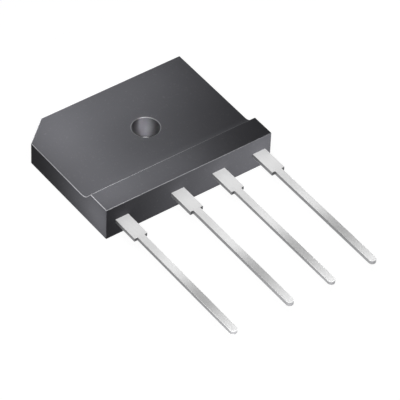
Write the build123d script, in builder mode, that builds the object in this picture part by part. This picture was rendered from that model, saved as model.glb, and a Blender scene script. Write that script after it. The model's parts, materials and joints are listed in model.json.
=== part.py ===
"""Single in-line bridge rectifier, lying on its flat back.

Sizes are in millimetres. The origin is the centre of the mounting hole on the back face. +Z rises out of the
face that has the raised bar, the four leads run towards -Y, and the cut corner is at -X, +Y.
"""
import os
from math import radians, tan

from build123d import *

# Moulded case: a plate with a thicker bar along the side that the leads leave
case_width = 30.0
case_depth = 23.5
plate_thickness = 4.0
bar_thickness = 5.8
bar_top_depth = 4.1
ramp_angle = 51.0
ramp_fillet = 2.0
corner_cut_width = 4.4
corner_cut_depth = 3.8
case_edge_radius = 0.1

# Mounting hole, which stands a little off the middle of the case
hole_diameter = 4.4
hole_right_of_middle = 1.3
hole_behind_middle = 1.35
hole_rim = 0.1

# Leads: stamped strip, wide where it leaves the case and narrow after its two shoulders
strip_thickness = 0.7
lead_underside = 2.45
lead_length = 28.0
root_width = 2.3
root_length = 4.8
shank_width = 1.2
first_lead_from_left = 2.8
last_lead_from_right = 2.2
first_pitch_extra = 2.5

# Inner half of each strip: straight through the wall, down a joggle, then a flat pad
embedded_length = 1.0
joggle_angle = 45.0
bend_radius = 0.3
pad_underside = 1.0
moulding_cover = 1.0
hole_cover = 1.4
pad_gap = 0.9
pad_corner_radius = 0.5
lock_hole_diameter = 0.8
lock_hole_setback = 0.6

# Dice, solder and clips
die_size = 3.6
die_thickness = 0.3
die_mesa_slope = 15.0
solder_thickness = 0.1
solder_top_size = 2.6
die_margin = 0.3
clip_thickness = 0.25
clip_head_width = 2.4
clip_neck_width = 1.6
clip_foot_length = 1.2
clip_corner_radius = 0.3
clip_bend_radius = 0.1

# Outer faces of the case, and the foot of the ramp between plate and bar
case_left = -case_width / 2 - hole_right_of_middle
case_right = case_left + case_width
case_front = -case_depth / 2 - hole_behind_middle
case_rear = case_front + case_depth
ridge = case_front + bar_top_depth
ramp_foot = ridge + (bar_thickness - plate_thickness) / tan(radians(ramp_angle))

# Middle lines and heights of the leads; the first stands apart from three that are evenly spaced
first_lead_x = case_left + first_lead_from_left
last_lead_x = case_right - last_lead_from_right
lead_pitch = (last_lead_x - first_lead_x - first_pitch_extra) / 3
lead_x = [first_lead_x, last_lead_x - 2 * lead_pitch, last_lead_x - lead_pitch, last_lead_x]
lead_top = lead_underside + strip_thickness
lead_tip = case_front - lead_length

# The joggle ends where the pads begin
pad_top = pad_underside + strip_thickness
joggle_start = case_front + embedded_length
joggle_end = joggle_start + (lead_top - pad_top) / tan(radians(joggle_angle))
pads_front = joggle_end + bend_radius

# The dice stand in two rows, one in front of the mounting hole and one behind it
hole_keep_out = hole_diameter / 2 + hole_cover
pads_rear = case_rear - moulding_cover
front_row = (pads_front - hole_keep_out) / 2
rear_row = (pads_rear + hole_keep_out) / 2

# Sides of the pads: each is as wide as what stands on it, with a margin round every piece
loaded_width = die_size + clip_foot_length + 3 * die_margin
middle_gap = (lead_x[1] + lead_x[2]) / 2
ac1_pad_right = middle_gap - pad_gap / 2
ac1_pad_left = ac1_pad_right - loaded_width
ac2_pad_left = middle_gap + pad_gap / 2
ac2_pad_right = ac2_pad_left + loaded_width
ac2_arm_left = hole_keep_out + die_margin
positive_pad_left = lead_x[0] - root_width / 2
positive_pad_right = ac1_pad_left - pad_gap
positive_arm_right = ac2_arm_left - pad_gap
negative_pad_left = ac2_pad_right + pad_gap
negative_pad_right = lead_x[3] + root_width / 2

# Pads as (left, front, right, rear); those that reach the rear are trimmed to the cover of the case
pad_areas = {
    "terminal_positive": [
        (positive_pad_left, pads_front, positive_pad_right, case_rear),
        (positive_pad_left, hole_keep_out, positive_arm_right, case_rear),
    ],
    "terminal_ac1": [(ac1_pad_left, pads_front, ac1_pad_right, -hole_keep_out)],
    "terminal_ac2": [
        (ac2_pad_left, pads_front, ac2_pad_right, -hole_keep_out),
        (ac2_arm_left, pads_front, ac2_pad_right, case_rear),
    ],
    "terminal_negative": [(negative_pad_left, pads_front, negative_pad_right, case_rear)],
}

# Dice and clip feet, set in from the edges of the pads that carry them
die_reach = die_margin + die_size / 2
foot_reach = die_margin + clip_foot_length / 2
die_places = {
    "diode_ac1_positive": (positive_pad_right - die_reach, front_row),
    "diode_ac2_positive": (positive_arm_right - die_reach, rear_row),
    "diode_ac1_negative": (ac1_pad_right - die_reach, front_row),
    "diode_ac2_negative": (ac2_pad_left + die_reach, front_row),
}
clip_routes = {
    "clip_ac1": (["diode_ac1_positive"], ac1_pad_left + foot_reach),
    "clip_ac2": (["diode_ac2_positive"], ac2_arm_left + foot_reach),
    "clip_negative": (["diode_ac1_negative", "diode_ac2_negative"], negative_pad_left + foot_reach),
}

# Heights of the stack on a pad
die_underside = pad_top + solder_thickness
die_top = die_underside + die_thickness
clip_top = die_top + solder_thickness + clip_thickness
foot_top = pad_top + solder_thickness + clip_thickness
clip_drop_run = (clip_top - foot_top) / tan(radians(joggle_angle))


def joggled_strip(start, bend, end, upper, lower, thickness, inner_radius):
    """Side view of a strip whose top steps down from one level to another, with rounded bends."""
    run = (upper - lower) / tan(radians(joggle_angle))
    mitre = thickness * tan(radians(joggle_angle / 2))
    first_outer = (bend, upper)
    first_inner = (bend - mitre, upper - thickness)
    second_inner = (bend + run, lower)
    second_outer = (bend + run - mitre, lower - thickness)
    with BuildSketch() as strip:
        with BuildLine():
            Polyline(
                (start, upper),
                first_outer,
                second_inner,
                (end, lower),
                (end, lower - thickness),
                second_outer,
                first_inner,
                (start, upper - thickness),
                close=True,
            )
        make_face()
        outer_bends = [strip.vertices().sort_by_distance(place)[0] for place in (first_outer, second_outer)]
        fillet(outer_bends, inner_radius + thickness)
        inner_bends = [strip.vertices().sort_by_distance(place)[0] for place in (first_inner, second_inner)]
        fillet(inner_bends, inner_radius)
    return strip.sketch


def rectangle_between(left, front, right, rear):
    """Rectangle given by its four sides."""
    with Locations(((left + right) / 2, (front + rear) / 2)):
        Rectangle(right - left, rear - front)


def keep(name, builder):
    """Labels a finished inner piece, writes it and keeps it, so that the case can be cast round it."""
    builder.part.label = name
    export_step(builder.part, f"parts/{name}.step")
    inner_pieces.append(builder.part)


os.makedirs("parts", exist_ok=True)
inner_pieces = []

# Terminals: the plan of the stamping, bent to its side view
with BuildSketch() as covered_area:
    with BuildLine():
        Polyline(
            (case_left, case_front),
            (case_right, case_front),
            (case_right, case_rear),
            (case_left + corner_cut_width, case_rear),
            (case_left, case_rear - corner_cut_depth),
            close=True,
        )
    make_face()
    offset(amount=-moulding_cover, kind=Kind.INTERSECTION, mode=Mode.REPLACE)

for terminal_name, middle in zip(pad_areas, lead_x):
    with BuildPart() as terminal:
        with BuildSketch() as plan:
            for left, front, right, rear in pad_areas[terminal_name]:
                rectangle_between(left, front, right, rear)
            add(covered_area.sketch, mode=Mode.INTERSECT)
            fillet(plan.vertices(), pad_corner_radius)
            root_front = case_front - root_length
            root_rear = pads_front + 2 * pad_corner_radius
            rectangle_between(middle - root_width / 2, root_front, middle + root_width / 2, root_rear)
            with Locations((middle, pads_front + lock_hole_setback)):
                Circle(lock_hole_diameter / 2, mode=Mode.SUBTRACT)
            tip_radius = shank_width / 2
            rectangle_between(middle - tip_radius, lead_tip + tip_radius, middle + tip_radius, root_front)
            with Locations((middle, lead_tip + tip_radius)):
                Circle(tip_radius)
        extrude(amount=bar_thickness)
        with BuildSketch(Plane.YZ.offset(case_left)):
            add(
                joggled_strip(
                    lead_tip,
                    joggle_start,
                    case_rear,
                    lead_top,
                    pad_top,
                    strip_thickness,
                    bend_radius,
                )
            )
        extrude(amount=case_width, mode=Mode.INTERSECT)
    keep(terminal_name, terminal)

# Dice, each between two layers of solder; the walls of a die slope as its mesa is etched
for die_name, place in die_places.items():
    with BuildPart() as solder_under:
        with BuildSketch(Plane.XY.offset(pad_top)):
            with Locations(place):
                Rectangle(die_size, die_size)
        extrude(amount=solder_thickness)
    keep(f"solder_under_{die_name}", solder_under)

    with BuildPart() as die:
        with BuildSketch(Plane.XY.offset(die_underside)):
            with Locations(place):
                Rectangle(die_size, die_size)
        extrude(amount=die_thickness, taper=die_mesa_slope)
    keep(die_name, die)

    with BuildPart() as solder_over:
        with BuildSketch(Plane.XY.offset(die_top)):
            with Locations(place):
                Rectangle(solder_top_size, solder_top_size)
        extrude(amount=solder_thickness)
    keep(f"solder_over_{die_name}", solder_over)

# Clips: a strip with a square head on each die and a square-cornered foot, stepped down to the next pad
for clip_name, (dice_under, foot_x) in clip_routes.items():
    first_x, row = die_places[dice_under[0]]
    foot_left = foot_x - clip_foot_length / 2
    foot_right = foot_x + clip_foot_length / 2
    with BuildPart() as clip:
        with BuildSketch():
            rectangle_between(first_x, row - clip_neck_width / 2, foot_x, row + clip_neck_width / 2)
            with Locations([die_places[die_name] for die_name in dice_under]):
                RectangleRounded(clip_head_width, clip_head_width, clip_corner_radius)
            with Locations((foot_x, row)):
                RectangleRounded(clip_foot_length, clip_head_width, clip_corner_radius)
        extrude(amount=bar_thickness)
        with BuildSketch(Plane.XZ.offset(-pads_rear)):
            add(
                joggled_strip(
                    first_x - clip_head_width / 2,
                    foot_left - clip_drop_run,
                    foot_right,
                    clip_top,
                    foot_top,
                    clip_thickness,
                    clip_bend_radius,
                )
            )
        extrude(amount=case_depth, mode=Mode.INTERSECT)
    keep(clip_name, clip)

    with BuildPart() as solder_foot:
        with BuildSketch(Plane.XY.offset(pad_top)):
            with Locations((foot_x, row)):
                RectangleRounded(clip_foot_length, clip_head_width, clip_corner_radius)
        extrude(amount=solder_thickness)
    keep(f"solder_foot_{clip_name}", solder_foot)

# Moulded case, cast round everything above, so it has their shape inside
with BuildPart() as moulded_case:
    with BuildSketch(Plane.YZ.offset(case_left)) as side_view:
        with BuildLine():
            Polyline(
                (case_front, 0),
                (case_rear, 0),
                (case_rear, plate_thickness),
                (ramp_foot, plate_thickness),
                (ridge, bar_thickness),
                (case_front, bar_thickness),
                close=True,
            )
        make_face()
        hollow_corner = side_view.vertices().sort_by_distance((ramp_foot, plate_thickness))[0]
        fillet(hollow_corner, ramp_fillet)
        outer_corners = [
            side_view.vertices().sort_by_distance(place)[0]
            for place in (
                (case_front, 0),
                (case_rear, 0),
                (case_rear, plate_thickness),
                (ridge, bar_thickness),
                (case_front, bar_thickness),
            )
        ]
        fillet(outer_corners, case_edge_radius)
    extrude(amount=case_width)

    with BuildSketch():
        with BuildLine():
            Polyline(
                (case_left, case_rear - corner_cut_depth),
                (case_left + corner_cut_width, case_rear),
                (case_left, case_rear),
                close=True,
            )
        make_face()
    extrude(amount=plate_thickness, mode=Mode.SUBTRACT)

    left_end = moulded_case.faces().sort_by(Axis.X)[0]
    right_end = moulded_case.faces().sort_by(Axis.X)[-1]
    cut_middle = (case_left + corner_cut_width / 2, case_rear - corner_cut_depth / 2, plate_thickness / 2)
    cut_face = moulded_case.faces().sort_by_distance(cut_middle)[0]
    fillet(set(left_end.edges() + right_end.edges() + cut_face.edges()), case_edge_radius)

    Hole(hole_diameter / 2)
    hole_top = moulded_case.edges().filter_by(GeomType.CIRCLE).sort_by_distance((0, 0, plate_thickness))[0]
    fillet(hole_top, hole_rim)

    for piece in inner_pieces:
        add(piece, mode=Mode.SUBTRACT)
moulded_case.part.label = "moulded_case"
export_step(moulded_case.part, "parts/moulded_case.step")
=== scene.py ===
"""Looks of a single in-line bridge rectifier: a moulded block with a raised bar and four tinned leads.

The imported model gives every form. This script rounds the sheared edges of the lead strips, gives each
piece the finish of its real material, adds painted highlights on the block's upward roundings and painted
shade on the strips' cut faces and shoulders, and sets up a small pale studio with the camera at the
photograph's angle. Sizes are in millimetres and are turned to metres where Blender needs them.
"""

import json
import logging
import math
from dataclasses import dataclass, field
from enum import Enum
from typing import Any

import bmesh
import bpy
from mathutils import Matrix, Vector

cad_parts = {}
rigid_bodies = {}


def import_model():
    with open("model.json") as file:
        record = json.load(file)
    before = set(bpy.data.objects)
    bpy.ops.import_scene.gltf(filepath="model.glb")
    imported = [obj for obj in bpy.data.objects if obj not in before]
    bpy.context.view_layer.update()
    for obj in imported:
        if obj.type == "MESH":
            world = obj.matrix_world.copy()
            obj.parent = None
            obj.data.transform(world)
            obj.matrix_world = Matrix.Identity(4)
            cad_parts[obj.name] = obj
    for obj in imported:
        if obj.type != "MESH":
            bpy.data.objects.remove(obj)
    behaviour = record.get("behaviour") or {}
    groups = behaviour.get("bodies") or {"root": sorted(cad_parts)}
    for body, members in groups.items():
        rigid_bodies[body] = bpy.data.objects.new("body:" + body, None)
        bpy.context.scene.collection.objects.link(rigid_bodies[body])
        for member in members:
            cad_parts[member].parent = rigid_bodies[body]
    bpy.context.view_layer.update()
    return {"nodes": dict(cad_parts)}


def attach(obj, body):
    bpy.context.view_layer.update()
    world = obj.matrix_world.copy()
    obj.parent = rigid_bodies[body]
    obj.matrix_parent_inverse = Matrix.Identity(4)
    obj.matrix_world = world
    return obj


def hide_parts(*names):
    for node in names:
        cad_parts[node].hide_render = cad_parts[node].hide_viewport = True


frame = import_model()

log = logging.getLogger("bridge_rectifier")

Pair = tuple[float, float]
Triple = tuple[float, float, float]
Colour = tuple[float, float, float, float]
Sockets = dict[str | int, Any]
Tree = bpy.types.NodeTree
Output = bpy.types.NodeSocket

MM = 0.001
ROOT = "root"
WHITE = "#ffffff"
# Points closer than this, in millimetres, become one, and faces within this many degrees one flat face
WELD_DISTANCE = 0.002
FLAT_ANGLE = 1.0
# An edge that turns by more degrees than this is sharp
SHARP_ANGLE = 35.0
# A light's beam of fewer degrees than this hardly fans out
NARROW_BEAM = 30.0


def reach(node: str) -> tuple[Triple, Triple]:
    """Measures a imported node.

    Args:
        node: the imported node's name.

    Returns:
        The lowest and the highest corner of its box, in millimetres to a thousandth.
    """
    places = [vertex.co / MM for vertex in frame["nodes"][node].data.vertices]
    low, high = (
        tuple(round(outermost(place[axis] for place in places), 3) for axis in range(3))
        for outermost in (min, max)
    )
    return low, high


# Outer faces of the part, in millimetres, that the finishes and the lights are set out from
(LEFT_END, FRONT, _), (RIGHT_END, REAR, BAR_TOP) = reach("moulded_case")
LEAD_TOP = reach("terminal_positive")[1][2]
PLATE_TOP = 4.0
# Each lead's place along X, and its share of light, which evens out what its neighbours' lights add
LEAD_SHARES = ((-13.5, 1.12), (-3.5, 0.99), (4.0, 0.94), (11.5, 1.05))


class Slot(str, Enum):
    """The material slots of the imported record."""

    MOULDING = "moulding_compound"
    TIN = "tinned_copper"


class CaseFace(Enum):
    """The kinds of surface on the block, in the order of its material slots."""

    MOULDED = 0
    # Rounding that faces up, with a painted highlight
    PAINTED_HIGHLIGHT = 1
    PIN_FORMED = 2
    # Rounding on the ridge or the hole's far rim, with the strongest painted highlight
    BARED = 3


class StripFace(Enum):
    """The kinds of surface on a stamped strip, in the order of its material slots."""

    ROLLED = 0
    # Cut sides and end, darkened partly by painted shade
    SHEARED_AND_SHADED = 1
    # Shoulder faces towards the tip, painted dark as painted shade
    SHOULDER_PAINTED_SHADE = 2


class Lit(Enum):
    """What a light falls on: each part of the set is lit by itself, as with flags on a real set."""

    ALL = "everything"
    BLOCK = "block"
    LEADS = "leads"
    FLOOR = "floor"


def linear(colour: str) -> Colour:
    """Turns an sRGB hex colour into the linear colour that a shader socket takes.

    Args:
        colour: six hex digits after a hash sign.

    Returns:
        Red, green, blue and an alpha of 1.
    """
    channels = [int(colour[i : i + 2], 16) / 255 for i in (1, 3, 5)]
    parts = [c / 12.92 if c <= 0.04045 else ((c + 0.055) / 1.055) ** 2.4 for c in channels]
    return parts[0], parts[1], parts[2], 1.0


def grain(size: float) -> float:
    """Gives the texture scale at which a pattern's features come out at a real size.

    Args:
        size: the size of one feature, in millimetres.

    Returns:
        The scale for a pattern on Object coordinates, which are in metres.
    """
    return 1 / (size * MM)


def add(
    tree: Tree,
    kind: str,
    links: Sockets | None = None,
    sockets: Sockets | None = None,
    **settings: Any,
) -> bpy.types.Node:
    """Adds one node with its settings, constant inputs and links.

    Args:
        tree: the node tree.
        kind: the node's type name.
        links: input name or index to the output socket that feeds it.
        sockets: input name or index to its constant value.
        settings: the node's own properties.

    Returns:
        The new node.
    """
    node = tree.nodes.new(kind)
    for key, value in settings.items():
        setattr(node, key, value)
    for key, value in (sockets or {}).items():
        node.inputs[key].default_value = value
    for key, source in (links or {}).items():
        tree.links.new(source, node.inputs[key])
    return node


def object_place(tree: Tree, stretch: Triple | None = None) -> Output:
    """Adds the place of each point on the object, in metres.

    Args:
        tree: the node tree.
        stretch: what each coordinate is multiplied by, where a pattern is drawn out along an axis.

    Returns:
        The place.
    """
    place = add(tree, "ShaderNodeTexCoord").outputs["Object"]
    if stretch is None:
        return place
    return add(tree, "ShaderNodeMapping", {"Vector": place}, {"Scale": stretch}).outputs["Vector"]


def noise(tree: Tree, place: Output, size: float, detail: float, roughness: float) -> Output:
    """Adds a noise pattern.

    Args:
        tree: the node tree.
        place: the place that the pattern is drawn on.
        size: the real size of one patch, in millimetres.
        detail: how many finer layers there are.
        roughness: how strong the finer layers are.

    Returns:
        The pattern, from 0 to 1.
    """
    pattern = add(tree, "ShaderNodeTexNoise", {"Vector": place},
                  {"Scale": grain(size), "Detail": detail, "Roughness": roughness})
    return pattern.outputs["Fac"]


def blend(tree: Tree, share: Output, first: str, second: str) -> Output:
    """Adds a mix of two colours.

    Args:
        tree: the node tree.
        share: how much of the second colour there is.
        first: the first colour as sRGB hex.
        second: the second colour as sRGB hex.

    Returns:
        The mixed colour.
    """
    mixed = add(tree, "ShaderNodeMix", {"Factor": share}, data_type="RGBA")
    mixed.inputs["A"].default_value = linear(first)
    mixed.inputs["B"].default_value = linear(second)
    return mixed.outputs["Result"]


def fit(
    tree: Tree, pattern: Output, low: float, high: float, start: float = 0.0, end: float = 1.0
) -> Output:
    """Adds a change of a pattern's range.

    Args:
        tree: the node tree.
        pattern: the pattern.
        low: what it becomes at the start of its range.
        high: what it becomes at the end of its range.
        start: where its range starts.
        end: where its range ends.

    Returns:
        The pattern in its new range.
    """
    fitted = add(tree, "ShaderNodeMapRange", {"Value": pattern},
                 {"From Min": start, "From Max": end, "To Min": low, "To Max": high})
    return fitted.outputs["Result"]


def relief(tree: Tree, pattern: Output, depth: float, strength: float) -> Output:
    """Adds bumps that follow a pattern.

    Args:
        tree: the node tree.
        pattern: the pattern, highest where it is 1.
        depth: the bumps' real depth, in millimetres.
        strength: how much of the bumps shows.

    Returns:
        The surface's direction for a shader.
    """
    bump = add(tree, "ShaderNodeBump", {"Height": pattern},
               {"Strength": strength, "Distance": depth * MM})
    return bump.outputs["Normal"]


def calculate(tree: Tree, operation: str, first: Output, second: Output | float) -> Output:
    """Adds one sum on two values.

    Args:
        tree: the node tree.
        operation: the kind of sum, as the node names it.
        first: the first value.
        second: the second value, from a node or a constant.

    Returns:
        The result.
    """
    node = add(tree, "ShaderNodeMath", {0: first}, operation=operation)
    if isinstance(second, float):
        node.inputs[1].default_value = second
    else:
        tree.links.new(second, node.inputs[1])
    return node.outputs["Value"]


def surface(tree: Tree, links: Sockets, sockets: Sockets) -> None:
    """Adds the shader of a solid surface and the material's output.

    Args:
        tree: the node tree.
        links: the shader's inputs that nodes feed.
        sockets: the shader's constant inputs.
    """
    shader = add(tree, "ShaderNodeBsdfPrincipled", links, sockets)
    add(tree, "ShaderNodeOutputMaterial", {"Surface": shader.outputs["BSDF"]})


class Finish:
    """Base of the finishes: makes a node material and keeps it, so that pieces share it."""

    name: str
    _made: dict[str, bpy.types.Material] = {}

    def material(self) -> bpy.types.Material:
        """Gives the finish's material, and makes it at the first call.

        Returns:
            The material.
        """
        if self.name not in Finish._made:
            made = bpy.data.materials.new(self.name)
            made.use_nodes = True
            made.node_tree.nodes.clear()
            self.build(made.node_tree)
            Finish._made[self.name] = made
        return Finish._made[self.name]

    def build(self, tree: Tree) -> None:
        """Fills the node tree; each finish has its own.

        Args:
            tree: the empty node tree of the material.
        """
        raise NotImplementedError


@dataclass(frozen=True)
class MouldingCompound(Finish):
    """Epoxy moulding compound filled with silica, transfer moulded in a spark-eroded mould.

    It looks dull and near-black, with next to no sheen. The mould leaves an even fine grain, and the
    filler leaves faint paler specks and slow clouds.
    """

    name: str = "moulded_epoxy_spark_eroded"
    base: str = "#58585c"
    cloud: str = "#5e5e62"
    speck: str = "#6d6d71"
    roughness: float = 0.55
    roughness_change: float = 0.05
    # Hardly any sheen, because the white surround would pale the dark ends of the faces
    specular: float = 0.01
    # The mould's grain is about 0.03 mm, too fine to show, so it is drawn at 0.22 mm
    mould_grain: float = 0.22
    grain_depth: float = 0.005
    # The filler's specks are drawn at 0.35 mm. They start where their noise passes the first value, and
    # are full at the second, where they cover half of the base
    filler_speck: float = 0.35
    speck_start: float = 0.6
    speck_full: float = 0.75
    speck_cover: float = 0.5
    # The clouds come from its flow into the mould and are about 7 mm wide
    flow_cloud: float = 7.0

    def build(self, tree: Tree) -> None:
        """Makes the compound's nodes.

        Args:
            tree: the empty node tree of the material.
        """
        place = object_place(tree)
        clouds = noise(tree, place, self.flow_cloud, detail=2.0, roughness=0.5)
        specks = noise(tree, place, self.filler_speck, detail=3.0, roughness=0.6)
        fine = noise(tree, place, self.mould_grain, detail=4.0, roughness=0.65)
        clouded = blend(tree, clouds, self.base, self.cloud)
        cover = fit(tree, specks, 0.0, self.speck_cover, self.speck_start, self.speck_full)
        specked = add(tree, "ShaderNodeMix", {"Factor": cover, "A": clouded}, data_type="RGBA")
        specked.inputs["B"].default_value = linear(self.speck)
        least = self.roughness - self.roughness_change
        most = self.roughness + self.roughness_change
        surface(
            tree,
            {"Base Color": specked.outputs["Result"], "Roughness": fit(tree, fine, least, most),
             "Normal": relief(tree, fine, self.grain_depth, 1.0)},
            {"Specular IOR Level": self.specular},
        )


# The same compound where the polished pin of the mould forms the hole: smoother and a little glossier
PIN_FORMED_COMPOUND = MouldingCompound(
    "moulded_epoxy_pin_formed", base="#4a4a4e", cloud="#505054", speck="#58585c", roughness=0.4,
    specular=0.1, grain_depth=0.001
)


@dataclass(frozen=True)
class PaintedHighlightCorner(Finish):
    """The same compound on its upward-facing corners, with thin light lines as a painted highlight.

    The painted highlight is palest at the left end, by the cut corner, and fades towards the other end.
    """

    name: str = "moulded_epoxy_painted_highlight_corner"
    # Colours of the painted highlight at its dimmest and at its brightest
    highlight_dim: str = "#66666a"
    highlight_bright: str = "#bcbcc0"
    # Ends along X where the painted highlight is brightest and dimmest, and its least strength at the dim
    # end
    highlight_bright_end: float = LEFT_END
    highlight_dim_end: float = RIGHT_END
    least_highlight: float = 0.1
    roughness: float = 0.45
    specular: float = 0.2
    # The painted highlight comes in patches about 0.9 mm long; between patches it is three quarters as
    # strong as in them
    highlight_patch: float = 0.9
    mark_start: float = 0.3
    mark_full: float = 0.7
    highlight_between: float = 0.75
    mark_depth: float = 0.004

    def build(self, tree: Tree) -> None:
        """Makes the rubbed corner's nodes.

        Args:
            tree: the empty node tree of the material.
        """
        place = object_place(tree)
        along = add(tree, "ShaderNodeSeparateXYZ", {"Vector": place}).outputs["X"]
        # Painted highlight: fades along X from the left end and comes in patches
        fade = fit(tree, along, 1.0, self.least_highlight, self.highlight_bright_end * MM, self.highlight_dim_end * MM)
        marks = noise(tree, place, self.highlight_patch, detail=3.0, roughness=0.6)
        uneven = fit(tree, marks, self.highlight_between, 1.0, self.mark_start, self.mark_full)
        painted_highlight = calculate(tree, "MULTIPLY", fade, uneven)
        surface(
            tree,
            {"Base Color": blend(tree, painted_highlight, self.highlight_dim, self.highlight_bright),
             "Normal": relief(tree, marks, self.mark_depth, 0.5)},
            {"Roughness": self.roughness, "Specular IOR Level": self.specular},
        )


# The ridge and the hole's rim towards +X and +Y get the palest painted highlight
STRONGEST_HIGHLIGHT_CORNER = PaintedHighlightCorner(
    "moulded_epoxy_strongest_painted_highlight", highlight_dim="#58585c", highlight_bright="#f2f2f5", least_highlight=0.0
)


@dataclass(frozen=True)
class TinPlate(Finish):
    """Matte tin, plated on rolled copper strip.

    It looks pale and silky. The strip's rolling marks run along the lead and stretch its reflections, and
    the tin's crystals break them up a little.
    """

    name: str = "tin_plated_rolled_copper"
    bright: str = "#e9e9e9"
    dim: str = "#dfdfdf"
    roughness: float = 0.45
    roughness_change: float = 0.04
    metallic: float = 0.22
    # Rolling marks are some 0.01 mm wide, too fine to show, so they are drawn 0.1 mm wide and 6 mm long
    mark_width: float = 0.1
    mark_length: float = 6.0
    mark_depth: float = 0.004
    # The tin's crystals are drawn 0.3 mm wide
    crystal: float = 0.3

    def build(self, tree: Tree) -> None:
        """Makes the plating's nodes.

        Args:
            tree: the empty node tree of the material.
        """
        along = object_place(tree, (1.0, self.mark_width / self.mark_length, 1.0))
        marks = noise(tree, along, self.mark_width, detail=3.0, roughness=0.6)
        crystals = add(tree, "ShaderNodeTexVoronoi", {"Vector": object_place(tree)},
                       {"Scale": grain(self.crystal)}).outputs["Color"]
        least = self.roughness - self.roughness_change
        most = self.roughness + self.roughness_change
        surface(
            tree,
            {"Base Color": blend(tree, marks, self.dim, self.bright),
             "Roughness": fit(tree, crystals, least, most),
             "Normal": relief(tree, marks, self.mark_depth, 0.4)},
            {"Metallic": self.metallic},
        )


@dataclass(frozen=True)
class ShearedEdgeAndPaintedShade(Finish):
    """Cut edge of the stamped strip, thinly tinned.

    The punch leaves upright score lines and a torn band, so the edge is rougher than the top. Its darker
    colour is partly the cut's own and partly painted shade for the shaded sides of the strips.
    """

    name: str = "sheared_strip_edge_and_painted_shade"
    # Darker than the tin, partly as painted shade
    bright: str = "#a4a4a6"
    dim: str = "#878789"
    roughness: float = 0.5
    metallic: float = 0.5
    # Score lines are some 0.02 mm wide, too fine to show, so they are drawn 0.15 mm wide and 1.5 mm long
    score_width: float = 0.15
    score_length: float = 1.5
    score_depth: float = 0.01

    def build(self, tree: Tree) -> None:
        """Makes the cut edge's nodes.

        Args:
            tree: the empty node tree of the material.
        """
        upright = object_place(tree, (1.0, 1.0, self.score_width / self.score_length))
        scores = noise(tree, upright, self.score_width, detail=2.0, roughness=0.5)
        surface(
            tree,
            {"Base Color": blend(tree, scores, self.dim, self.bright),
             "Normal": relief(tree, scores, self.score_depth, 0.5)},
            {"Metallic": self.metallic, "Roughness": self.roughness},
        )


# The shoulders' faces towards the tips are painted dark, as painted shade
SHADED_SHOULDER_FINISH = ShearedEdgeAndPaintedShade("shoulder_painted_shade", bright="#5c5c5e", dim="#4c4c4e")


@dataclass(frozen=True)
class MottledFinish(Finish):
    """A finish that is one colour clouding into another, for the pieces inside the block."""

    name: str
    first: str
    second: str
    patch: float
    roughness: float
    metallic: float
    bump_depth: float
    roughness_change: float = 0.06

    def build(self, tree: Tree) -> None:
        """Makes the mottled surface's nodes.

        Args:
            tree: the empty node tree of the material.
        """
        patches = noise(tree, object_place(tree), self.patch, detail=4.0, roughness=0.55)
        least = self.roughness - self.roughness_change
        most = self.roughness + self.roughness_change
        surface(
            tree,
            {"Base Color": blend(tree, patches, self.first, self.second),
             "Roughness": fit(tree, patches, least, most),
             "Normal": relief(tree, patches, self.bump_depth, 0.5)},
            {"Metallic": self.metallic},
        )


# Half-hard copper, rolled and bare: warm, satin, with soft stains 0.8 mm wide
CLIP_COPPER = MottledFinish(
    "rolled_bare_copper", "#b87352", "#c98763", patch=0.8, roughness=0.34, metallic=1.0, bump_depth=0.004
)
# Passivated silicon: dark blue-grey and glassy, with hardly any pattern
DIE_SILICON = MottledFinish(
    "passivated_silicon", "#3b4148", "#474e57", patch=0.5, roughness=0.18, metallic=0.0, bump_depth=0.001
)
# Lead-free solder, cooled dull: pale grey, with frost in grains of 0.2 mm
DULL_SOLDER = MottledFinish(
    "reflowed_solder", "#a9aaa8", "#bfc0bd", patch=0.2, roughness=0.42, metallic=1.0, bump_depth=0.008
)


def dress(piece: bpy.types.Object, *finishes: Finish) -> None:
    """Gives a piece its materials in place of those it has.

    Args:
        piece: the mesh object.
        finishes: one finish for each material slot, in order.
    """
    while piece.data.materials:
        piece.data.materials.pop()
    for finish in finishes:
        piece.data.materials.append(finish.material())


def joined_copy(node: str) -> bmesh.types.BMesh:
    """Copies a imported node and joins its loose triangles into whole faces.

    Args:
        node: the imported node's name.

    Returns:
        The joined shape.
    """
    shape = bmesh.new()
    shape.from_mesh(frame["nodes"][node].data)
    bmesh.ops.remove_doubles(shape, verts=shape.verts, dist=WELD_DISTANCE * MM)
    bmesh.ops.dissolve_limit(
        shape, angle_limit=math.radians(FLAT_ANGLE), verts=shape.verts, edges=shape.edges
    )
    return shape


def finished_piece(
    shape: bmesh.types.BMesh, node: str, finishes: tuple[Finish, ...]
) -> str:
    """Makes an object of a shape, with its finishes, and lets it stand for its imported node.

    Args:
        shape: the shape, which is freed.
        node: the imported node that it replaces.
        finishes: one finish for each material slot of the mesh.

    Returns:
        The new piece's name.
    """
    for face in shape.faces:
        face.smooth = True
    mesh = bpy.data.meshes.new(f"{node}_finished")
    shape.to_mesh(mesh)
    shape.free()
    mesh.set_sharp_from_angle(angle=math.radians(SHARP_ANGLE))
    piece = bpy.data.objects.new(mesh.name, mesh)
    bpy.context.collection.objects.link(piece)
    # Large faces keep their own direction, so that only the roundings between them look curved
    weighted = piece.modifiers.new("flat_faces_stay_flat", "WEIGHTED_NORMAL")
    weighted.keep_sharp = True
    weighted.weight = 100
    dress(piece, *finishes)
    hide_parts(node)
    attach(piece, ROOT)
    return piece.name


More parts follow.
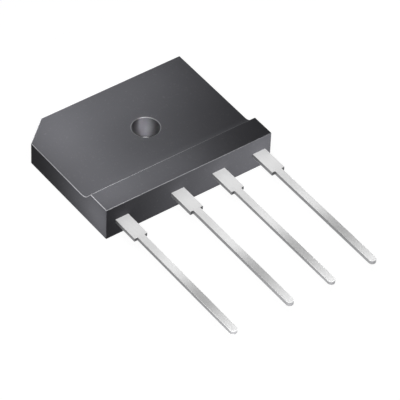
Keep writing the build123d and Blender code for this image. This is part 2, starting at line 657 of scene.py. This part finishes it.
@dataclass
class MouldedCase:
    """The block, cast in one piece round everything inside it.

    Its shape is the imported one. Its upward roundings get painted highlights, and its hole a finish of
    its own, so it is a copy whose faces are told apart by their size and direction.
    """

    node: str = "moulded_case"
    hole_radius: float = 2.2
    rounding_width: float = 0.12
    ridge: float = -9.0
    # How steeply the direction of a face rises: less than this on the wall of the hole, and between these
    # on a rounding that faces up, which gets a painted highlight
    wall_rise: float = 0.1
    rounding_rises: Pair = (0.2, 0.995)
    # Slot order: moulded surface, painted highlight, the hole's wall, strongest painted highlight
    finishes: tuple[Finish, ...] = (
        MouldingCompound(), PaintedHighlightCorner(), PIN_FORMED_COMPOUND, STRONGEST_HIGHLIGHT_CORNER
    )

    def build(self) -> list[str]:
        """Makes the block.

        Returns:
            The names of the pieces.
        """
        shape = joined_copy(self.node)
        for face in shape.faces:
            face.material_index = self.kind(face).value
        return [finished_piece(shape, self.node, self.finishes)]

    def kind(self, face: bmesh.types.BMFace) -> CaseFace:
        """Tells what kind of surface a face is part of.

        Args:
            face: a face of the joined block.

        Returns:
            The wall of the hole, an upward rounding with a strong or a plain painted highlight, or else
            the moulded surface.
        """
        centre = face.calc_center_median() / MM
        round_hole = math.hypot(centre.x, centre.y) < self.hole_radius + self.rounding_width
        if round_hole and abs(face.normal.z) < self.wall_rise:
            return CaseFace.PIN_FORMED
        longest = max(edge.calc_length() for edge in face.edges) / MM
        narrow = face.calc_area() / MM**2 < self.rounding_width * longest
        least, most = self.rounding_rises
        if not (narrow and least < face.normal.z < most):
            return CaseFace.MOULDED
        # The ridge and the rim's quarter towards +X and +Y get the strongest painted highlight
        on_ridge = abs(centre.y - self.ridge) < self.rounding_width
        strongest_on_rim = round_hole and centre.x > 0 and centre.y > 0
        return CaseFace.BARED if on_ridge or strongest_on_rim else CaseFace.PAINTED_HIGHLIGHT


@dataclass
class LeadStrips:
    """The four stamped strips, with the edges softened that the punch draws over and plating fills.

    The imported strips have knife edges, so each copy gets a narrow rounding along every sharp edge.
    """

    nodes: tuple[str, ...] = (
        "terminal_positive", "terminal_ac1", "terminal_ac2", "terminal_negative"
    )
    edge_radius: float = 0.07
    edge_segments: int = 3
    shoulder: float = -17.9
    # A rolled face's direction rises or falls by more than the first, and a shoulder's face leans to the
    # tip by more than the second
    rolled_rise: float = 0.2
    shoulder_lean: float = 0.9
    # Rolled tin, cut faces partly darkened as painted shade, shoulders painted dark as painted shade
    finishes: tuple[Finish, ...] = (TinPlate(), ShearedEdgeAndPaintedShade(), SHADED_SHOULDER_FINISH)

    def build(self) -> list[str]:
        """Makes every strip.

        Returns:
            The names of the pieces.
        """
        return [self.strip(node) for node in self.nodes]

    def strip(self, node: str) -> str:
        """Makes one strip.

        Args:
            node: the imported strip's name.

        Returns:
            The name of the new piece.
        """
        shape = joined_copy(node)
        sharp_turn = math.radians(SHARP_ANGLE)
        sharp = [e for e in shape.edges if e.is_manifold and e.calc_face_angle() > sharp_turn]
        bmesh.ops.bevel(
            shape, geom=sharp, offset=self.edge_radius * MM, offset_type="OFFSET",
            segments=self.edge_segments, profile=0.5, affect="EDGES", clamp_overlap=True, material=-1
        )
        for face in shape.faces:
            face.material_index = self.kind(face).value
        return finished_piece(shape, node, self.finishes)

    def kind(self, face: bmesh.types.BMFace) -> StripFace:
        """Tells what kind of surface a face is part of.

        Args:
            face: a face of the softened strip.

        Returns:
            The rolled top and bottom, the sheared sides and end, darkened partly by painted shade, or the
            shoulders' faces towards the tip, painted dark as painted shade.
        """
        if abs(face.normal.z) > self.rolled_rise:
            return StripFace.ROLLED
        at_shoulder = abs(face.calc_center_median().y / MM - self.shoulder) < self.edge_radius
        faces_tip = face.normal.y < -self.shoulder_lean
        return StripFace.SHOULDER_PAINTED_SHADE if at_shoulder and faces_tip else StripFace.SHEARED_AND_SHADED


@dataclass
class InnerStack:
    """What the block holds between the pads: dice, solder and clips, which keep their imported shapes."""

    finishes: dict[str, Finish] = field(
        default_factory=lambda: {
            "diode_": DIE_SILICON, "solder_": DULL_SOLDER, "clip_": CLIP_COPPER
        }
    )

    def build(self) -> list[str]:
        """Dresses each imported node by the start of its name.

        Returns:
            The names of the pieces.
        """
        dressed = []
        for name, node in frame["nodes"].items():
            for start, finish in self.finishes.items():
                if name.startswith(start):
                    dress(node, finish)
                    dressed.append(name)
        return dressed


@dataclass(frozen=True)
class Softbox:
    """A rectangular studio light.

    Its level is how bright it makes a white surface that faces it at the aim point: 1 renders white.
    """

    name: str
    place: Triple
    aim: Triple
    width: float
    height: float
    level: float
    lit: Lit = Lit.ALL
    spread: float = 180.0

    def build(self) -> None:
        """Adds the light, which the camera doesn't see. The leads don't mirror those that are theirs."""
        data = bpy.data.lights.new(self.name, "AREA")
        data.shape = "RECTANGLE"
        data.size = self.width * MM
        data.size_y = self.height * MM
        data.spread = math.radians(self.spread)
        away = Vector(self.place) - Vector(self.aim)
        data.energy = self.power(away.length)
        light = bpy.data.objects.new(self.name, data)
        turn = away.to_track_quat("Z", "Y").to_matrix().to_4x4()
        light.matrix_world = Matrix.Translation(Vector(self.place) * MM) @ turn
        light.visible_camera = False
        light.visible_glossy = self.lit is not Lit.LEADS
        bpy.context.collection.objects.link(light)
        if self.lit is not Lit.ALL:
            light.light_linking.receiver_collection = self.receivers()
        if self.lit in (Lit.BLOCK, Lit.LEADS):
            # Block and leads cast no shadow on each other, as in the photograph
            light.light_linking.blocker_collection = self.receivers()

    def power(self, distance: float) -> float:
        """Works out the light's power from its level.

        Args:
            distance: from the light to its aim point, in millimetres.

        Returns:
            The power in watts, for a light that fans out or for a narrow beam of the light's own size.
        """
        if self.spread < NARROW_BEAM:
            return self.level * math.pi * self.width * self.height * MM**2
        return self.level * math.pi**2 * (distance * MM) ** 2

    def receivers(self) -> bpy.types.Collection:
        """Gives the collection of the pieces that the light falls on, and makes it at the first call.

        Returns:
            The collection, which isn't part of the scene's own.
        """
        name = f"lit_{self.lit.value}"
        if name not in bpy.data.collections:
            group = bpy.data.collections.new(name)
            start = {Lit.BLOCK: "moulded_case", Lit.LEADS: "terminal_", Lit.FLOOR: "floor"}[self.lit]
            for piece in bpy.context.scene.objects:
                if piece.type == "MESH" and piece.name.startswith(start):
                    group.objects.link(piece)
        return bpy.data.collections[name]


def above(
    name: str, place: Triple, surface_height: float, size: Pair, level: float, lit: Lit = Lit.BLOCK
) -> Softbox:
    """Makes a softbox that faces straight down.

    Args:
        name: the light's name.
        place: its centre.
        surface_height: the height of the surface below it, for which its level holds.
        size: its size along X and along Y.
        level: its level on that surface.
        lit: what it falls on.

    Returns:
        The light.
    """
    across, along, _ = place
    return Softbox(name, place, (across, along, surface_height), size[0], size[1], level, lit)


def over_leads(name: str, along: float, depth: float, level: float) -> tuple[Softbox, ...]:
    """Lays out a row of small panels, one low over each lead.

    Args:
        name: what part of the leads the row lights.
        along: the row's place along the leads, in millimetres.
        depth: the panels' size along the leads.
        level: the level of each panel, before its lead's share.

    Returns:
        The row's lights.
    """
    height = 7.0
    size = (7.0, depth)
    return tuple(
        above(f"{name}_{number}", (across, along, height), LEAD_TOP, size, level * share, Lit.LEADS)
        for number, (across, share) in enumerate(LEAD_SHARES, 1)
    )


@dataclass(frozen=True)
class Viewpoint:
    """The camera, at the angle and distance that the photograph was drawn from."""

    aim: Triple = (0.65, -13.23, -1.0)
    azimuth: float = -37.7
    elevation: float = 43.7
    roll: float = 2.5
    distance: float = 474.0
    lens: float = 286.4
    sensor: float = 36.0
    # The nearest and furthest that it sees, in metres
    sight: Pair = (0.01, 10.0)

    def build(self) -> None:
        """Adds the camera and makes it the scene's own."""
        data = bpy.data.cameras.new("camera")
        data.lens = self.lens
        data.sensor_width = self.sensor
        data.clip_start, data.clip_end = self.sight
        a, e = math.radians(self.azimuth), math.radians(self.elevation)
        back = Vector((math.sin(a) * math.cos(e), -math.cos(a) * math.cos(e), math.sin(e)))
        upright = back.to_track_quat("Z", "Y").to_matrix()
        camera = bpy.data.objects.new("camera", data)
        place = (Vector(self.aim) + back * self.distance) * MM
        turn = Matrix.Rotation(math.radians(self.roll), 3, back) @ upright
        camera.matrix_world = Matrix.Translation(place) @ turn.to_4x4()
        bpy.context.collection.objects.link(camera)
        bpy.context.scene.camera = camera


@dataclass
class Studio:
    """A plain white studio: a floor, a white surround and softboxes flagged off what they aren't for."""

    floor_size: float = 3000.0
    floor_level: float = -0.02
    floor_glow: float = 0.93
    floor_colour: str = "#898989"
    ambient: float = 0.07

    def lights(self) -> list[Softbox]:
        """Lays out the lights.

        Returns:
            The lights, in groups by what they are for.
        """
        panels = [*self.room_lights(), *self.top_lights(), *self.face_lights(), *self.lead_lights()]
        return [*panels, self.hole_light()]

    def room_lights(self) -> list[Softbox]:
        """Lays out soft light for the whole set, and low light from behind and beside.

        The low lights leave the top alone.

        Returns:
            The lights.
        """
        return [
            Softbox("overhead", place=(0.0, 0.0, 150.0), aim=(0.0, 0.0, 3.0), width=150.0,
                    height=150.0, level=0.06),
            Softbox("low_rear", place=(0.0, 28.0, 1.3), aim=(0.0, REAR, 1.3), width=30.0,
                    height=2.0, level=0.6),
            Softbox("low_right", place=(120.0, 0.0, 7.0), aim=(RIGHT_END, 0.0, 3.0), width=60.0,
                    height=8.0, level=0.5),
            Softbox("over_floor", place=(-60.0, -60.0, 160.0), aim=(0.0, -10.0, 0.0), width=160.0,
                    height=160.0, level=0.3, lit=Lit.FLOOR),
        ]

    def top_lights(self) -> list[Softbox]:
        """Lays out small panels over the plate and the bar, brightest at the left.

        Returns:
            The lights.
        """
        end_panel = (7.0, 8.0)
        panel = (9.0, 9.0)
        bar_panel = (7.0, 4.0)
        # Each panel's name, its place, the surface below it, its size and its level there
        return [
            above("plate_1", (-12.8, -4.0, 12.0), PLATE_TOP, end_panel, 0.43),
            above("plate_2", (-12.8, 4.0, 12.0), PLATE_TOP, end_panel, 0.68),
            above("plate_3", (-12.8, 11.0, 12.0), PLATE_TOP, end_panel, 0.28),
            above("plate_4", (-10.0, 11.0, 16.0), PLATE_TOP, panel, 0.8),
            above("plate_5", (-4.0, 11.0, 16.0), PLATE_TOP, panel, 0.13),
            above("plate_6", (2.0, 4.0, 16.0), PLATE_TOP, panel, 0.29),
            above("plate_7", (2.0, 11.0, 16.0), PLATE_TOP, panel, 0.1),
            above("plate_8", (8.0, 11.0, 16.0), PLATE_TOP, panel, 0.49),
            above("bar_1", (-15.0, -11.0, 15.0), BAR_TOP, bar_panel, 1.08),
            above("bar_2", (-3.0, -11.0, 15.0), BAR_TOP, bar_panel, 0.66),
        ]

    def face_lights(self) -> list[Softbox]:
        """Lays out low panels beside the left end and before the front face.

        They make the left end brightest at its front, and the front face at its right.

        Returns:
            The lights.
        """
        end_1 = Softbox("left_end_1", place=(-22.3, -11.5, 3.0), aim=(LEFT_END, -11.5, 3.0), width=3.0,
                        height=6.0, level=1.2, lit=Lit.BLOCK)
        end_2 = Softbox("left_end_2", place=(-25.0, -6.0, 3.0), aim=(LEFT_END, -6.0, 3.0), width=4.0,
                        height=4.0, level=0.42, lit=Lit.BLOCK)
        # The front panels' places along X, with their levels
        front_levels = {-2.0: 0.38, 4.0: 0.25, 10.0: 0.52, 16.0: 0.91}
        before_front = [
            Softbox(f"front_{number}", place=(across, -25.0, 3.0), aim=(across, FRONT, 3.0), width=6.0,
                    height=4.0, level=level, lit=Lit.BLOCK)
            for number, (across, level) in enumerate(front_levels.items(), 1)
        ]
        return [end_1, end_2, *before_front]

    def lead_lights(self) -> list[Softbox]:
        """Lays out rows of panels over the leads, and low panels that light their sides and ends.

        The gap between the rows leaves a darker band before the tips.

        Returns:
            The lights.
        """
        return [
            *over_leads("roots", along=-13.0, depth=8.0, level=1.49),
            *over_leads("middles_near", along=-20.0, depth=6.0, level=0.55),
            *over_leads("middles_far", along=-26.0, depth=6.0, level=1.17),
            *over_leads("tips_near", along=-39.0, depth=6.0, level=0.77),
            *over_leads("tips_far", along=-43.5, depth=5.0, level=1.16),
            Softbox("before_leads_1", place=(-24.0, -52.0, 1.5), aim=(-4.0, -41.0, 2.8), width=24.0,
                    height=2.8, level=0.8, lit=Lit.LEADS),
            Softbox("before_leads_2", place=(-20.0, -70.0, 1.5), aim=(-1.0, -41.0, 2.8), width=40.0,
                    height=2.8, level=1.65, lit=Lit.LEADS),
        ]

    def hole_light(self) -> Softbox:
        """Gives the narrow beam down the hole that draws the soft streak on its far wall.

        Returns:
            The light.
        """
        return Softbox("down_the_hole", place=(-5.45, -6.76, 12.3), aim=(-0.15, 0.1, PLATE_TOP),
                       width=1.1, height=1.9, level=8.8, lit=Lit.BLOCK, spread=10.0)

    def build(self) -> None:
        """Adds the floor, the surround and the lights, and sets the plain view."""
        self.floor()
        self.surround()
        for light in self.lights():
            light.build()
        bpy.context.scene.view_settings.view_transform = "Standard"

    def floor(self) -> None:
        """Adds the floor: matte and white, with most of its white its own, so that shadows stay faint."""
        shape = bmesh.new()
        bmesh.ops.create_grid(shape, x_segments=1, y_segments=1, size=self.floor_size * MM / 2)
        bmesh.ops.translate(shape, verts=shape.verts, vec=(0.0, 0.0, self.floor_level * MM))
        mesh = bpy.data.meshes.new("floor")
        shape.to_mesh(mesh)
        shape.free()
        piece = bpy.data.objects.new("floor", mesh)
        bpy.context.collection.objects.link(piece)
        material = bpy.data.materials.new("matte_white_floor")
        material.use_nodes = True
        tree = material.node_tree
        tree.nodes.clear()
        strength = calculate(tree, "MULTIPLY", self.seen_directly(tree), self.floor_glow)
        glow = add(tree, "ShaderNodeEmission", {"Strength": strength})
        matte = add(tree, "ShaderNodeBsdfDiffuse", sockets={"Color": linear(self.floor_colour)})
        both = add(tree, "ShaderNodeAddShader", {0: matte.outputs["BSDF"], 1: glow.outputs["Emission"]})
        add(tree, "ShaderNodeOutputMaterial", {"Surface": both.outputs["Shader"]})
        mesh.materials.append(material)

    def surround(self) -> None:
        """Makes the world white to the camera and in reflections, and a plain soft light otherwise."""
        world = bpy.data.worlds.new("white_surround")
        bpy.context.scene.world = world
        world.use_nodes = True
        tree = world.node_tree
        tree.nodes.clear()
        strength = fit(tree, self.seen_directly(tree), self.ambient, 1.0)
        glow = add(tree, "ShaderNodeBackground", {"Strength": strength}, {"Color": linear(WHITE)})
        add(tree, "ShaderNodeOutputWorld", {"Surface": glow.outputs["Background"]})

    def seen_directly(self, tree: Tree) -> Output:
        """Adds nodes that tell rays which show the surround from rays which light a surface with it.

        Args:
            tree: the node tree to add to.

        Returns:
            An output that is 1 for a camera, glossy or transmission ray, and 0 for others.
        """
        ray = add(tree, "ShaderNodeLightPath").outputs
        seen_or_mirrored = calculate(tree, "MAXIMUM", ray["Is Camera Ray"], ray["Is Glossy Ray"])
        return calculate(tree, "MAXIMUM", seen_or_mirrored, ray["Is Transmission Ray"])


def main() -> None:
    """Builds the part and its studio in order and reports each piece."""
    logging.basicConfig(level=logging.INFO, format="%(message)s")
    for assembly in (MouldedCase(), LeadStrips(), InnerStack()):
        for name in assembly.build():
            log.info("%s: %s", type(assembly).__name__, name)
    Studio().build()
    Viewpoint().build()


if __name__ == "__main__":
    main()
